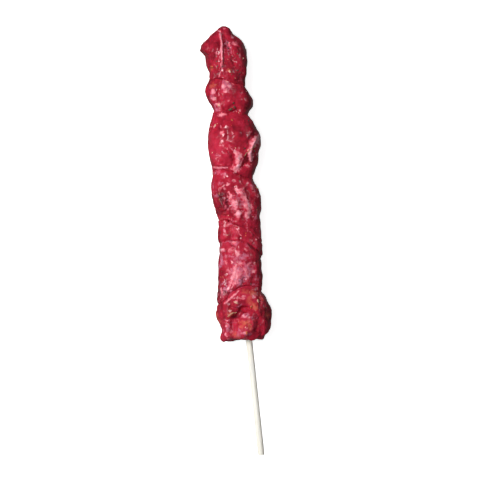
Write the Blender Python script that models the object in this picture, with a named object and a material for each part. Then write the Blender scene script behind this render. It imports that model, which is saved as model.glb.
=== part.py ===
"""A beef kebab skewer: pieces of raw marinated beef on a round wooden stick, lying on a flat surface.

Metres, +Z up. The stick runs along Y at one height above the surface, with its bare handle towards -Y.
Sizes of the meat are in millimetres: "along" is measured from the handle's end of the stick, and
left, right and up are measured from the stick's axis. The origin is on the surface, under the middle
of the whole skewer. A piece's "down" is its reach below the axis before the surface flattens it, and its
squareness is the exponent of its cross-section: 2 is an ellipse, more is boxier.
"""
import math
from collections import namedtuple

import bmesh
import bpy
from mathutils import Vector, noise
from mathutils.bvhtree import BVHTree

MM = 0.001

# The stick
STICK_LENGTH = 250.0
STICK_DIAMETER = 4.0
STICK_HEIGHT = 11.0        # of its axis above the surface
STICK_SIDES = 24
SHARP_ANGLE = 40.0         # edges of the stick steeper than this, in degrees, stay sharp
MERGE_DISTANCE = 0.01
HANDLE_CHAMFER = 0.4
POINT_LENGTH = 10.0        # the sharpened end, inside the last piece of meat
POINT_DIAMETER = 1.0

# Where the skewer lies in its own frame
WHOLE_LENGTH = 253.8
STICK_ACROSS = -1.2        # the meat reaches further to the right, so the stick lies left of the middle

# Clearances
BORE_CLEARANCE = 0.3
SEAM_GAP = 0.45            # between two pieces of meat, along the stick

# How a piece of meat is divided into rings and sides
SIDES = 32
RING_SPACING = 2.4
FEWEST_RINGS = 6
CAP_RINGS = 4
EVEN_SPACING = 0.45        # 1 spaces the rings evenly, 0 crowds them to the ends

# The general form of a piece of meat
SHOULDER = 3.0             # length over which an end rounds off
SHOULDER_ACROSS = 0.05     # share of the width lost at an end
SHOULDER_UP = 0.08         # share of the upper height lost at an end
SHOULDER_BELOW = 9.0       # length over which the underside rises to an end
SHOULDER_DOWN = 0.28       # share of the lower height lost at an end
SEAM_SPAN = 12.0           # where the left and right values of a seam are measured
SEAM_LIMIT = 1.5           # no seam is carried further than this many spans
SEAM_WAVE = 2.4            # how far a seam strays from its plain curve, at one span to the side
SEAM_WAVE_SIZE = 8.0
TIP_ROUNDING = 5.0         # length over which the last piece closes at the point end
LUMP_HEIGHT = 0.85
LUMP_SIZE = 9.0
FOLD_RISE = 4.0            # height above the axis over which the folds of the upper side deepen
SETTLE_PASSES = 6          # passes that settle a point of the skin between its two seams

# What lies on the meat
STRAND_SIDES = 5
STRAND_STEP = 2.6
STRAND_END = 0.6           # share of a strand's width at its two ends
STRAND_SUNK = 0.25         # share of a strand's radius that lies below the meat's surface
FLAKE_SIDES = 6
FLAKE_THICKNESS = 0.7
FLAKE_TAPER = 0.55         # share of a flake's outline at its upper and lower faces
FLAKE_RAISED = 0.15        # how far a flake's middle lies above the meat's surface
TOUCH_HEIGHT = 60.0        # above the stick's handle, from where the meat's surface is looked up

Station = namedtuple("Station", "along left right up")
Seam = namedtuple("Seam", "left middle right lean")
Fold = namedtuple("Fold", "along across length width depth heading")
Strand = namedtuple("Strand", "width points")
Flake = namedtuple("Flake", "across along length width heading")
Piece = namedtuple("Piece", "name colour down squareness stations folds strands flakes")

CRIMSON = (0.38, 0.030, 0.052)
ROSE = (0.50, 0.095, 0.135)
MAROON = (0.27, 0.022, 0.036)
PALE_WOOD = (0.70, 0.56, 0.36)
BEEF_ROUGHNESS = 0.35
WOOD_ROUGHNESS = 0.6

# The cuts between the pieces, from the handle's side to the point
SEAMS = [
    Seam(68.8, 68.2, 68.0, 0.05),
    Seam(92.3, 98.6, 94.2, 0.18),
    Seam(126.0, 127.3, 118.0, -0.12),
    Seam(140.0, 136.2, 125.0, 0.10),
    Seam(170.2, 168.2, 160.2, -0.16),
    Seam(201.5, 200.8, 198.6, 0.14),
    Seam(222.0, 221.8, 217.5, -0.12),
]

PIECES = [
    Piece(
        "beef_1_folded_end", CRIMSON, 12.2, 2.35,
        [
            Station(69.0, 15.6, 9.2, 9.6),
            Station(72.0, 16.4, 11.6, 10.8),
            Station(76.0, 15.2, 13.4, 11.4),
            Station(83.0, 17.2, 15.3, 10.9),
            Station(90.0, 16.6, 13.4, 10.8),
            Station(96.0, 15.4, 10.8, 9.8),
        ],
        [
            Fold(79.5, -6.0, 8.5, 2.6, 2.6, 62.0),
            Fold(86.5, -1.0, 8.0, 2.2, 1.7, 8.0),
            Fold(76.5, 6.5, 6.0, 2.6, 1.6, 100.0),
            Fold(76.0, -1.0, 4.5, 3.4, -1.6, 10.0),
            Fold(82.0, 1.0, 5.0, 2.4, -1.3, 5.0),
            Fold(75.0, -12.0, 6.0, 2.8, -1.0, 80.0),
        ],
        [Strand(1.0, [(-11.0, 83.2), (-8.2, 84.9), (-5.6, 85.4)])],
        [
            Flake(-5.2, 91.0, 3.2, 1.4, 10.0),
            Flake(7.6, 90.6, 2.6, 1.2, 40.0),
            Flake(3.2, 87.4, 2.2, 1.2, 70.0),
            Flake(-1.0, 73.0, 2.4, 1.4, 20.0),
        ],
    ),
    Piece(
        "beef_2_long", ROSE, 12.0, 2.25,
        [
            Station(91.0, 16.4, 10.4, 9.4),
            Station(100.0, 15.0, 11.0, 10.6),
            Station(110.0, 13.2, 12.0, 11.4),
            Station(118.0, 12.2, 12.6, 10.8),
            Station(126.0, 11.2, 12.9, 9.6),
        ],
        [
            Fold(112.0, -7.0, 11.0, 2.4, 1.0, 82.0),
            Fold(108.0, 5.5, 10.0, 2.2, 1.1, 96.0),
            Fold(120.0, -2.0, 5.0, 3.0, -1.0, 30.0),
            Fold(104.0, -2.5, 6.0, 3.4, -1.0, 80.0),
        ],
        [],
        [],
    ),
    Piece(
        "beef_3_wedge", CRIMSON, 10.4, 2.2,
        [
            Station(120.0, 11.0, 13.1, 8.0),
            Station(128.0, 11.8, 13.2, 8.8),
            Station(133.0, 10.9, 13.2, 9.2),
            Station(140.0, 10.6, 13.8, 8.6),
        ],
        [
            Fold(133.0, -3.5, 5.0, 2.2, 1.4, 80.0),
            Fold(132.0, -8.0, 5.0, 2.6, -0.8, 90.0),
        ],
        [],
        [],
    ),
    Piece(
        "beef_4_streaked", ROSE, 12.3, 2.2,
        [
            Station(126.0, 11.0, 13.0, 8.8),
            Station(134.0, 10.6, 13.3, 10.2),
            Station(142.0, 10.4, 14.3, 11.6),
            Station(150.0, 12.1, 15.3, 11.8),
            Station(157.0, 13.0, 14.0, 11.2),
            Station(163.0, 12.2, 11.8, 10.0),
            Station(169.0, 10.9, 14.2, 9.2),
        ],
        [
            Fold(149.0, -2.0, 10.0, 2.2, 1.5, 76.0),
            Fold(147.0, 4.5, 9.0, 1.8, 1.0, 100.0),
            Fold(150.0, 8.5, 11.0, 2.6, 1.2, 98.0),
            Fold(160.0, -4.0, 6.0, 3.0, -0.9, 20.0),
            Fold(141.0, -5.5, 4.5, 2.0, 1.2, 0.0),
        ],
        [],
        [],
    ),
    Piece(
        "beef_5_round", CRIMSON, 12.6, 2.15,
        [
            Station(162.0, 10.6, 12.0, 9.4),
            Station(170.0, 11.2, 15.0, 11.4),
            Station(178.0, 11.8, 17.8, 13.6),
            Station(185.5, 11.7, 19.6, 13.8),
            Station(193.0, 10.6, 16.6, 12.2),
            Station(199.5, 8.0, 13.3, 10.0),
        ],
        [
            Fold(176.5, 2.6, 8.0, 1.9, 1.6, 62.0),
            Fold(178.0, -5.5, 7.0, 5.0, -0.9, 0.0),
            Fold(170.0, 8.8, 5.0, 2.2, 1.9, 35.0),
            Fold(181.0, 10.4, 7.0, 1.7, 1.2, 58.0),
            Fold(191.0, 4.0, 6.0, 3.4, -0.8, 120.0),
        ],
        [
            Strand(0.9, [(-10.3, 172.4), (-7.0, 171.6), (-3.6, 170.9), (-1.2, 170.7)]),
            Strand(0.8, [(8.4, 175.2), (11.0, 177.3), (13.6, 179.0), (15.8, 180.4)]),
            Strand(1.5, [(12.2, 172.0), (12.3, 176.2), (14.2, 181.2), (16.8, 185.4)]),
        ],
        [
            Flake(-6.4, 194.8, 2.2, 1.3, 0.0),
            Flake(3.7, 196.8, 1.8, 1.2, 90.0),
            Flake(14.6, 177.6, 2.6, 1.1, 60.0),
        ],
    ),
    Piece(
        "beef_6_short", CRIMSON, 11.5, 2.2,
        [
            Station(200.0, 6.6, 13.4, 9.2),
            Station(206.5, 7.3, 17.2, 10.2),
            Station(212.0, 9.4, 15.2, 10.6),
            Station(217.0, 10.3, 13.4, 10.0),
            Station(221.5, 7.6, 13.2, 9.0),
        ],
        [
            Fold(212.0, -3.0, 8.0, 2.4, 1.3, 70.0),
            Fold(203.5, 4.6, 4.5, 2.6, 1.8, 10.0),
            Fold(215.0, 2.8, 5.0, 3.0, -1.1, 60.0),
        ],
        [],
        [
            Flake(3.4, 203.2, 3.0, 1.5, 35.0),
            Flake(6.0, 204.2, 2.4, 1.3, 120.0),
            Flake(5.6, 206.6, 1.8, 1.1, 80.0),
            Flake(-3.0, 206.4, 2.2, 1.3, 15.0),
        ],
    ),
    Piece(
        "beef_7_pointed_end", MAROON, 12.0, 2.4,
        [
            Station(217.5, 7.4, 13.4, 9.4),
            Station(226.0, 6.8, 15.4, 11.0),
            Station(232.0, 7.4, 16.3, 11.4),
            Station(237.6, 7.8, 15.6, 10.8),
            Station(240.8, 11.2, 14.7, 10.0),
            Station(244.5, 7.4, 12.3, 8.8),
            Station(248.2, 3.5, 9.5, 7.4),
            Station(251.0, 0.4, 8.7, 6.2),
            Station(253.8, -1.4, 7.4, 4.2),
        ],
        [
            Fold(236.0, 6.8, 10.0, 2.4, 1.7, 110.0),
            Fold(240.0, -3.6, 7.0, 2.6, 1.1, 60.0),
            Fold(229.0, -2.6, 5.0, 3.0, -0.8, 90.0),
        ],
        [
            Strand(
                1.3,
                [
                    (0.6, 249.6),
                    (2.1, 247.2),
                    (2.6, 243.0),
                    (2.3, 238.0),
                    (1.6, 232.0),
                    (0.6, 227.6),
                    (-0.9, 224.6),
                ],
            ),
        ],
        [
            Flake(7.2, 233.4, 2.8, 1.2, 115.0),
            Flake(6.2, 238.6, 2.2, 1.2, 60.0),
            Flake(-4.6, 229.2, 2.0, 1.3, 30.0),
            Flake(5.4, 225.0, 2.2, 1.2, 150.0),
        ],
    ),
]


def clear_scene():
    for item in list(bpy.data.objects):
        bpy.data.objects.remove(item, do_unlink=True)


def material(name, colour, roughness):
    made = bpy.data.materials.new(name)
    made.use_nodes = True
    shader = made.node_tree.nodes["Principled BSDF"]
    shader.inputs["Base Color"].default_value = (*colour, 1.0)
    shader.inputs["Roughness"].default_value = roughness
    shader.inputs["Metallic"].default_value = 0.0
    return made


def place(across, along, height):
    """The world position of a point given in millimetres from the stick's handle end and axis."""
    return Vector(((across + STICK_ACROSS) * MM, (along - WHOLE_LENGTH / 2.0) * MM, height * MM))


def add_object(name, mesh_builder, look):
    """Makes one object from a finished bmesh, shades it smooth and gives it its material."""
    mesh = bpy.data.meshes.new(name)
    bmesh.ops.recalc_face_normals(mesh_builder, faces=mesh_builder.faces)
    bmesh.ops.triangulate(mesh_builder, faces=mesh_builder.faces)
    mesh_builder.to_mesh(mesh)
    mesh_builder.free()
    mesh.shade_smooth()
    made = bpy.data.objects.new(name, mesh)
    made.data.materials.append(look)
    bpy.context.scene.collection.objects.link(made)
    return made


def stick_radius(along):
    """The stick is round and even, and tapers over its last stretch."""
    full = STICK_DIAMETER / 2.0
    taper = max(0.0, (along - (STICK_LENGTH - POINT_LENGTH)) / POINT_LENGTH)
    return full + (POINT_DIAMETER / 2.0 - full) * min(1.0, taper)


def make_stick():
    profile = [
        (0.0, 0.0),
        (STICK_DIAMETER / 2.0 - HANDLE_CHAMFER, 0.0),
        (STICK_DIAMETER / 2.0, HANDLE_CHAMFER),
        (STICK_DIAMETER / 2.0, STICK_LENGTH - POINT_LENGTH),
        (POINT_DIAMETER / 2.0, STICK_LENGTH),
        (0.0, STICK_LENGTH),
    ]
    builder = bmesh.new()
    line = [builder.verts.new(place(radius, along, STICK_HEIGHT)) for radius, along in profile]
    for first, second in zip(line, line[1:]):
        builder.edges.new((first, second))
    bmesh.ops.spin(
        builder,
        geom=builder.verts[:] + builder.edges[:],
        cent=place(0.0, 0.0, STICK_HEIGHT),
        axis=(0.0, 1.0, 0.0),
        angle=math.tau,
        steps=STICK_SIDES,
        use_merge=True,
    )
    bmesh.ops.remove_doubles(builder, verts=builder.verts, dist=MERGE_DISTANCE * MM)
    made = add_object("wooden_stick", builder, material("pale wood", PALE_WOOD, WOOD_ROUGHNESS))
    made.data.set_sharp_from_angle(angle=math.radians(SHARP_ANGLE))


def curve_through(stations, along):
    """Left, right and up at one place along the stick, on a smooth curve through the stations."""
    if along <= stations[0].along:
        return stations[0][1:]
    if along >= stations[-1].along:
        return stations[-1][1:]
    index = max(i for i, station in enumerate(stations) if station.along <= along)
    before = stations[max(index - 1, 0)]
    start = stations[index]
    end = stations[index + 1]
    after = stations[min(index + 2, len(stations) - 1)]
    span = end.along - start.along
    t = (along - start.along) / span
    values = []
    for a, p, q, b in zip(before[1:], start[1:], end[1:], after[1:]):
        slope_start = (q - a) / (end.along - before.along) * span
        slope_end = (b - p) / (after.along - start.along) * span
        ease = t * t * (3.0 - 2.0 * t)
        values.append(
            p * (1.0 - ease)
            + q * ease
            + slope_start * t * (1.0 - t) ** 2
            - slope_end * t * t * (1.0 - t)
        )
    return values


def seam_along(seam, across, height):
    """Where a seam runs, at one place of the cross-section: a curve from left to right that leans."""
    side = max(-SEAM_LIMIT, min(SEAM_LIMIT, across / SEAM_SPAN))
    bend = (seam.left + seam.right) / 2.0 - seam.middle
    tilt = (seam.right - seam.left) / 2.0
    wave = SEAM_WAVE * side * side * noise.noise(Vector((across, height, seam.middle)) / SEAM_WAVE_SIZE)
    return seam.middle + side * tilt + side * side * bend + seam.lean * (height - STICK_HEIGHT) + wave


def rounding(distance, length):
    """0 away from an end, rising to 1 at the end along a quarter circle."""
    if distance >= length:
        return 0.0
    share = 1.0 - max(0.0, distance) / length
    return 1.0 - math.sqrt(1.0 - share * share)


def squared(value, squareness):
    return math.copysign(abs(value) ** (2.0 / squareness), value)


def relief(piece, across, along, height):
    """How far the skin stands in from the plain form: folds on the upper side and uneven lumps all round."""
    depth = 0.0
    facing_up = max(0.0, min(1.0, (height - STICK_HEIGHT) / FOLD_RISE))
    for fold in piece.folds:
        turn = math.radians(fold.heading)
        east = across - fold.across
        north = along - fold.along
        lengthwise = (east * math.cos(turn) + north * math.sin(turn)) / fold.length
        sideways = (north * math.cos(turn) - east * math.sin(turn)) / fold.width
        depth += facing_up * fold.depth * math.exp(-lengthwise * lengthwise - sideways * sideways)
    where = Vector((across, along, height)) / LUMP_SIZE
    return depth + LUMP_HEIGHT * noise.noise(where)


def skin_point(piece, turn, share, tail, head):
    """One point of a piece's skin, at an angle round the stick and a share of the way between its ends."""
    last = head is None
    across = 0.0
    height = STICK_HEIGHT
    along = 0.0
    for _ in range(SETTLE_PASSES):
        start = seam_along(tail, across, height) + SEAM_GAP / 2.0
        end = WHOLE_LENGTH if last else seam_along(head, across, height) - SEAM_GAP / 2.0
        along = start + (end - start) * share
        left, right, up = curve_through(piece.stations, along)
        nearest = along - start if last else min(along - start, end - along)
        shoulder = rounding(nearest, SHOULDER)
        close = 1.0 - rounding(WHOLE_LENGTH - along, TIP_ROUNDING) if last else 1.0
        above = up * (1.0 - SHOULDER_UP * shoulder)
        below = piece.down * (1.0 - SHOULDER_DOWN * rounding(nearest, SHOULDER_BELOW))
        middle_across = (right - left) / 2.0
        middle_height = STICK_HEIGHT + (above - below) / 2.0
        half_width = (right + left) / 2.0 * (1.0 - SHOULDER_ACROSS * shoulder) * close
        half_height = (above + below) / 2.0 * close
        across = middle_across + half_width * squared(math.cos(turn), piece.squareness)
        height = middle_height + half_height * squared(math.sin(turn), piece.squareness)
        inward = relief(piece, across, along, height) * close
        away = Vector((across - middle_across, height - middle_height))
        if away.length > 0.0:
            away.normalize()
        across -= inward * away.x
        height = max(0.0, height - inward * away.y)
    return across, along, height


def ring_shares(length):
    """Where a piece's rings lie between its ends, closer together towards the ends."""
    count = max(FEWEST_RINGS, round(length / RING_SPACING))
    shares = []
    for index in range(count + 1):
        even = index / count
        crowded = (1.0 - math.cos(math.pi * even)) / 2.0
        shares.append(EVEN_SPACING * even + (1.0 - EVEN_SPACING) * crowded)
    return shares


def bore_point(turn, along):
    radius = stick_radius(along) + BORE_CLEARANCE
    return radius * math.cos(turn), STICK_HEIGHT + radius * math.sin(turn)


def cap_rings(skin_ring, turns, seam, side):
    """The rings of an end face, from the skin in to the bore, all lying on the seam's surface."""
    rings = []
    for index in range(1, CAP_RINGS + 1):
        share = index / CAP_RINGS
        ring = []
        for turn, (across, along, height) in zip(turns, skin_ring):
            inner_across, inner_height = bore_point(turn, along)
            x = across + (inner_across - across) * share
            z = height + (inner_height - height) * share
            ring.append((x, seam_along(seam, x, z) + side * SEAM_GAP / 2.0, z))
        rings.append(ring)
    return rings


def piece_rings(piece, tail, head):
    """All the rings of a piece in order: its bore at the tail, its tail face, its skin and its head face."""
    turns = [math.tau * index / SIDES for index in range(SIDES)]
    end = WHOLE_LENGTH if head is None else head.middle
    shares = ring_shares(end - tail.middle)
    if head is None:
        shares = shares[:-1]
    skin = [[skin_point(piece, turn, share, tail, head) for turn in turns] for share in shares]
    rings = list(reversed(cap_rings(skin[0], turns, tail, 1.0))) + skin
    if head is not None:
        rings += cap_rings(skin[-1], turns, head, -1.0)
    return rings


def tip_point(piece):
    """Where the last piece closes at the point end."""
    left, right, up = curve_through(piece.stations, WHOLE_LENGTH)
    return (right - left) / 2.0, WHOLE_LENGTH, STICK_HEIGHT + (up - piece.down) / 2.0


def join_rings(builder, first, second):
    for index in range(SIDES):
        following = (index + 1) % SIDES
        builder.faces.new((first[index], first[following], second[following], second[index]))


def close_ring(builder, ring, centre):
    for index in range(SIDES):
        builder.faces.new((ring[index], ring[(index + 1) % SIDES], centre))


def touch(surface, across, along):
    """The height of the meat's upper surface at one place."""
    above = place(across, along, TOUCH_HEIGHT)
    return surface.ray_cast(above, Vector((0.0, 0.0, -1.0)))[0].z / MM


def joined_rings(rings):
    """A closed solid through rings of points, with a flat face at each end."""
    builder = bmesh.new()
    corners = [[builder.verts.new(place(*point)) for point in ring] for ring in rings]
    count = len(corners[0])
    for first, second in zip(corners, corners[1:]):
        for side in range(count):
            following = (side + 1) % count
            builder.faces.new((first[side], first[following], second[following], second[side]))
    builder.faces.new(corners[0])
    builder.faces.new(corners[-1])
    return builder


def strand_solid(surface, strand):
    """A thin strand that lies half sunk on the meat and follows it: a herb stem or a line of sinew."""
    stops = [Vector((across, along, 0.0)) for across, along in strand.points]
    route = []
    for first, second in zip(stops, stops[1:]):
        steps = max(1, round((second - first).length / STRAND_STEP))
        route += [first.lerp(second, step / steps) for step in range(steps)]
    route.append(stops[-1])
    rings = []
    for index, stop in enumerate(route):
        ahead = route[min(index + 1, len(route) - 1)] - route[max(index - 1, 0)]
        sideways = Vector((ahead.y, -ahead.x, 0.0)).normalized()
        radius = strand.width / 2.0
        height = touch(surface, stop.x, stop.y) + radius * (1.0 - STRAND_SUNK)
        if index in (0, len(route) - 1):
            radius *= STRAND_END
        ring = []
        for side in range(STRAND_SIDES):
            turn = math.tau * side / STRAND_SIDES
            point = stop + sideways * (radius * math.cos(turn))
            ring.append((point.x, point.y, height + radius * math.sin(turn)))
        rings.append(ring)
    return joined_rings(rings)


def flake_solid(surface, flake):
    """A small leaf or seed that lies on the meat, thinner towards its upper and lower faces."""
    heading = Vector((math.cos(math.radians(flake.heading)), math.sin(math.radians(flake.heading)), 0.0))
    sideways = Vector((-heading.y, heading.x, 0.0))
    middle = Vector((flake.across, flake.along, 0.0))
    rings = []
    for level, share in ((-0.5, FLAKE_TAPER), (0.0, 1.0), (0.5, FLAKE_TAPER)):
        ring = []
        for side in range(FLAKE_SIDES):
            turn = math.tau * side / FLAKE_SIDES
            lengthwise = heading * (flake.length / 2.0 * math.cos(turn))
            crosswise = sideways * (flake.width / 2.0 * math.sin(turn))
            point = middle + (lengthwise + crosswise) * share
            height = touch(surface, point.x, point.y) + FLAKE_RAISED + FLAKE_THICKNESS * level
            ring.append((point.x, point.y, height))
        rings.append(ring)
    return joined_rings(rings)


def fuse_toppings(made, piece):
    """Joins the strands and flakes to the meat that they lie on with one Boolean union on a collection."""
    surface = BVHTree.FromObject(made, bpy.context.evaluated_depsgraph_get())
    solids = [strand_solid(surface, strand) for strand in piece.strands]
    solids += [flake_solid(surface, flake) for flake in piece.flakes]
    group = bpy.data.collections.new(piece.name + "_toppings")
    for index, builder in enumerate(solids):
        item = add_object(piece.name + "_topping_" + str(index), builder, made.data.materials[0])
        bpy.context.scene.collection.objects.unlink(item)
        group.objects.link(item)
    bpy.context.scene.collection.children.link(group)
    union = made.modifiers.new("toppings", "BOOLEAN")
    union.operation = "UNION"
    union.operand_type = "COLLECTION"
    union.collection = group
    union.solver = "EXACT"
    bpy.context.view_layer.update()
    fused = bpy.data.meshes.new_from_object(made.evaluated_get(bpy.context.evaluated_depsgraph_get()))
    made.modifiers.remove(union)
    made.data = fused
    for item in list(group.objects):
        bpy.data.objects.remove(item, do_unlink=True)
    bpy.data.collections.remove(group)


def make_piece(piece, tail, head, look):
    """One piece of meat: skin, end faces and the bore that the stick passes through."""
    builder = bmesh.new()
    rings = [[builder.verts.new(place(*point)) for point in ring] for ring in piece_rings(piece, tail, head)]
    for first, second in zip(rings, rings[1:]):
        join_rings(builder, first, second)
    if head is None:
        close_ring(builder, rings[-1], builder.verts.new(place(*tip_point(piece))))
        previous = rings[0]
        for along in (STICK_LENGTH - POINT_LENGTH, STICK_LENGTH + BORE_CLEARANCE):
            ring = []
            for index in range(SIDES):
                x, z = bore_point(math.tau * index / SIDES, along)
                ring.append(builder.verts.new(place(x, along, z)))
            join_rings(builder, ring, previous)
            previous = ring
        bore_end = builder.verts.new(place(0.0, STICK_LENGTH + BORE_CLEARANCE, STICK_HEIGHT))
        close_ring(builder, previous, bore_end)
    else:
        join_rings(builder, rings[-1], rings[0])
    made = add_object(piece.name, builder, look)
    if piece.strands or piece.flakes:
        fuse_toppings(made, piece)


def main():
    clear_scene()
    make_stick()
    heads = SEAMS[1:] + [None]
    for piece, tail, head in zip(PIECES, SEAMS, heads):
        make_piece(piece, tail, head, material(piece.name.replace("_", " "), piece.colour, BEEF_ROUGHNESS))


main()
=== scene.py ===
"""Dresses the beef kebab skewer: raw marinated beef, its sinew and fat, herbs and pepper, and a wooden stick.

Places on the skewer are given in millimetres in the stick's own frame: "across" is measured from the stick's
axis to the right and "along" from the bare end of its handle. Seen from above, the point is at the top.
"""
import math
from collections import namedtuple

import bmesh
import bpy
import numpy as np
from mathutils import Matrix, Vector
from mathutils.bvhtree import BVHTree


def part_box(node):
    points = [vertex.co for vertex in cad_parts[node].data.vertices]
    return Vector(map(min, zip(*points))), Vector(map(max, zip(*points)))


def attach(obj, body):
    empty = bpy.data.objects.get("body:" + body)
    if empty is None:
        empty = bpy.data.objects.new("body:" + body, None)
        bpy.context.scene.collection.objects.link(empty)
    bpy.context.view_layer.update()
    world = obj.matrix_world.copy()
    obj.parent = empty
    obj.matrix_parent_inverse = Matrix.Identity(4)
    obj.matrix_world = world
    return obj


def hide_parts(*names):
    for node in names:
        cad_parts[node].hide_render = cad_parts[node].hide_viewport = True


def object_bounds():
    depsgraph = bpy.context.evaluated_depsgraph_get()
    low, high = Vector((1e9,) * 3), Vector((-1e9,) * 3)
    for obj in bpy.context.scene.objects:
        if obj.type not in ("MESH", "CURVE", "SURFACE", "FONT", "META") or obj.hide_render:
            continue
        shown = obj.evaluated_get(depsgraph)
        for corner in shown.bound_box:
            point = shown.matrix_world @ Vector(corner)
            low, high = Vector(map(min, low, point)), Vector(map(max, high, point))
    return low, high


bl_info = {
    "name": "Beef Kebab Skewer",
    "version": (1, 0, 0),
    "blender": (4, 5, 0),
    "location": "View3D > Sidebar > Kebab",
    "description": "Dresses a raw beef kebab skewer with meat, herbs, pepper and a wooden stick",
    "category": "Add Mesh",
}

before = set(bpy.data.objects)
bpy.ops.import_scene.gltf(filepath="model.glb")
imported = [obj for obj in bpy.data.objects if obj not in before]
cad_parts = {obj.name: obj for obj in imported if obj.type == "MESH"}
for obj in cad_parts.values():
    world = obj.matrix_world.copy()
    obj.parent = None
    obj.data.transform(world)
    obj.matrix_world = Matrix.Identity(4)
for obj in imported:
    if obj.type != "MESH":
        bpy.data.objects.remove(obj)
CAD_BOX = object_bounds()

MM = 0.001
STICK_NODE = "wooden_stick"
BEEF_NODES = sorted(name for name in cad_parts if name.startswith("beef_"))
STICK_LOW, STICK_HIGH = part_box(STICK_NODE)
AXIS_ACROSS = (STICK_LOW[0] + STICK_HIGH[0]) / 2.0 / MM
AXIS_HEIGHT = (STICK_LOW[2] + STICK_HIGH[2]) / 2.0 / MM
HANDLE_END = STICK_LOW[1] / MM
STICK_LENGTH = (STICK_HIGH[1] - STICK_LOW[1]) / MM
STICK_RADIUS = (STICK_HIGH[0] - STICK_LOW[0]) / 2.0 / MM
FRAME_START = (AXIS_ACROSS, HANDLE_END, 0.0)

# Lengths are in millimetres and the angle is in degrees. Thickness and how deep pepper sinks are shares.
STICK_POINT = 10.0
STICK_BLUNT = 0.5
LOOK_DOWN = 60.0
CREASE_SHARE = 0.7
WELD_DISTANCE = 0.001
LOWEST_SKIN = 0.02
LOWEST_BIT = 1.2
FLAKE_SIDES = 7
FLAKE_THICKNESS = 0.16
FLAKE_RISE = 0.05
FLAKE_SINK = 0.02
PEPPER_SINK = 0.15
STEM_SIDES = 7
STEM_STEP = 0.9
SCATTERED_STEM_WIDTH = 0.42
SHARP_ANGLE = 40.0
FLOOR_DEPTH = 0.1
FLOOR_REACH = 3000.0

Look = namedtuple("Look", "tone orange film flecks curds grain seed")

# How each piece differs: its brightness, orange marinade, pink film with painted sheen, pale flecks with
# painted glints and bumps, the way its grain runs in degrees from the right, and where it reads the noise
LOOKS = {
    "beef_1_folded_end": Look(0.06, 0.6, 0.5, 0.75, 1.1, 62.0, 3.0),
    "beef_2_long": Look(-0.03, 0.08, 0.8, 0.9, 1.0, 84.0, 11.0),
    "beef_3_wedge": Look(0.0, 0.12, 0.35, 0.45, 0.9, 40.0, 19.0),
    "beef_4_streaked": Look(-0.02, 0.1, 0.6, 0.55, 0.7, 98.0, 27.0),
    "beef_5_round": Look(0.02, 0.06, 0.1, 0.05, 0.25, 28.0, 35.0),
    "beef_6_short": Look(-0.02, 0.15, 0.3, 0.4, 0.7, 70.0, 43.0),
    "beef_7_pointed_end": Look(-0.15, 0.12, 0.35, 0.25, 0.8, 104.0, 51.0),
}

# Folds and cuts that show from above: width, depth and route
CREASES = [
    (1.5, 2.2, [(-1.0, 85.8), (-5.0, 83.6), (-8.0, 80.4), (-9.2, 76.0), (-9.6, 71.5)]),
    (1.1, 1.2, [(-9.0, 88.4), (-3.0, 86.8), (3.0, 87.0), (6.4, 84.2), (7.2, 79.0), (5.4, 74.0)]),
    (0.9, 0.8, [(-5.2, 79.4), (0.0, 78.8), (4.6, 80.0)]),
    (1.0, 1.0, [(8.6, 93.0), (9.4, 86.0), (8.8, 79.0), (7.6, 72.0)]),
    (1.8, 0.7, [(-7.6, 117.0), (-9.0, 109.0), (-9.6, 101.0)]),
    (1.6, 0.5, [(6.4, 121.0), (7.6, 113.0), (7.0, 104.0)]),
    (1.3, 1.3, [(0.2, 100.6), (1.4, 103.8)]),
    (1.2, 1.3, [(-3.4, 139.0), (-4.4, 133.6), (-4.0, 128.6)]),
    (1.5, 0.7, [(-4.2, 155.5), (-2.2, 149.0), (-1.0, 144.0), (-0.4, 139.6)]),
    (1.4, 0.7, [(0.6, 158.0), (3.2, 151.4), (4.6, 145.0), (4.8, 140.0)]),
    (1.6, 0.8, [(9.2, 158.0), (10.2, 149.0), (9.6, 140.5)]),
    (1.0, 0.9, [(-9.0, 141.8), (-5.0, 141.2), (-1.8, 140.4)]),
    (1.3, 1.4, [(-1.0, 179.4), (1.6, 177.2), (2.5, 173.6), (1.4, 170.6)]),
    (1.0, 1.5, [(7.7, 170.2), (8.2, 170.9)]),
    (1.0, 1.5, [(10.5, 171.4), (10.9, 172.2)]),
    (1.1, 1.1, [(9.4, 173.0), (10.4, 178.6), (12.8, 183.4), (15.6, 187.6)]),
    (1.0, 1.0, [(-1.2, 220.5), (-2.0, 214.0), (-1.2, 208.0), (0.8, 203.0)]),
    (1.2, 1.2, [(2.4, 201.6), (6.8, 202.0)]),
    (1.1, 1.2, [(4.4, 250.0), (5.6, 243.4), (7.4, 236.6), (8.2, 229.6)]),
    (0.8, 0.7, [(-4.2, 246.4), (-5.2, 240.0), (-4.0, 233.0)]),
]

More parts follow.
